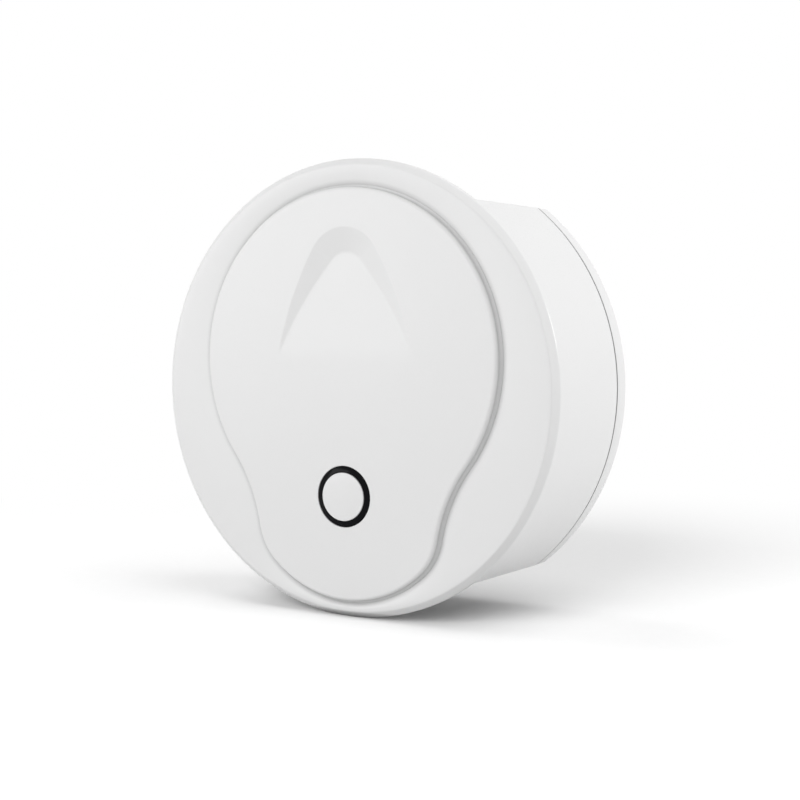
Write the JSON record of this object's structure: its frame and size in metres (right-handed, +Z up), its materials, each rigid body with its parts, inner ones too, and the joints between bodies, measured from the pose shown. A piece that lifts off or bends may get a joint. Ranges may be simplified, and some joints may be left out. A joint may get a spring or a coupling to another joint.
{
  "type": "smart home gateway",
  "caption": "Round white wall gateway with a raised pear-shaped plate, an arch scoop, a ringed push button and flats at the top and bottom.",
  "frame": {"origin": "centre of the rear pad's outer face, which lies on the wall", "axes": "+Z up, +Y to the rear into the wall, front faces -Y, +X to the right of someone who looks at the front"},
  "size_m": [0.072, 0.0258, 0.07],
  "materials": {
    "shell_white": "fine satin moulded surface",
    "ring_smoked": "polished smoked window",
    "guide_clear": "clear moulded light guide",
    "part_black": "moulded black plastic",
    "screw_steel": "bright zinc plated",
    "led_cream": "clear cast over phosphor",
    "board_green": "solder mask over fibreglass",
    "pad_foam": "fine closed-cell foam",
    "socket_steel": "drawn and plated",
    "contact_gold": "gold flash",
    "module_dark": "dark solder mask",
    "shield_steel": "tinned sheet",
    "ceramic_pale": "fired ceramic",
    "coil_grey": "pressed ferrite",
    "can_aluminium": "drawn can",
    "chip_tan": "fired ceramic with tinned ends"
  },
  "bodies": {
    "case": {"front_housing": "shell_white", "face_plate": "shell_white", "light_ring": "ring_smoked", "rear_cover": "shell_white", "light_guide": "guide_clear", "switch_body": "part_black", "switch_legs": "screw_steel", "status_leds": "led_cream", "main_board": "board_green", "board_screws": "screw_steel", "case_screws": "screw_steel", "adhesive_pad": "pad_foam", "usb_shell": "socket_steel", "usb_tongue": "part_black", "usb_contacts": "contact_gold", "wifi_board": "module_dark", "wifi_shield": "shield_steel", "mesh_board": "module_dark", "mesh_shield": "shield_steel", "mesh_antenna": "ceramic_pale", "power_coil": "coil_grey", "regulator_chip": "part_black", "memory_chip": "part_black", "chip_leads": "screw_steel", "capacitor_bases": "part_black", "bulk_capacitors": "can_aluminium", "crystal": "shield_steel", "small_chips": "chip_tan"},
    "button": {"button_cap": "shell_white"},
    "plunger": {"switch_plunger": "part_black"}
  },
  "joints": [
    {"name": "button_press", "type": "slide", "parent": "case", "child": "button", "axis": [0, 1, 0], "range_m": [0, 0.00035], "stiffness_N_per_m": 2000, "springref_m": -0.0003},
    {"name": "switch_press", "type": "slide", "parent": "case", "child": "plunger", "axis": [0, 1, 0], "range_m": [0, 0.00035]}
  ],
  "couplings": [
    {"joint": "switch_press", "follows": "button_press", "ratio": 1}
  ]
}
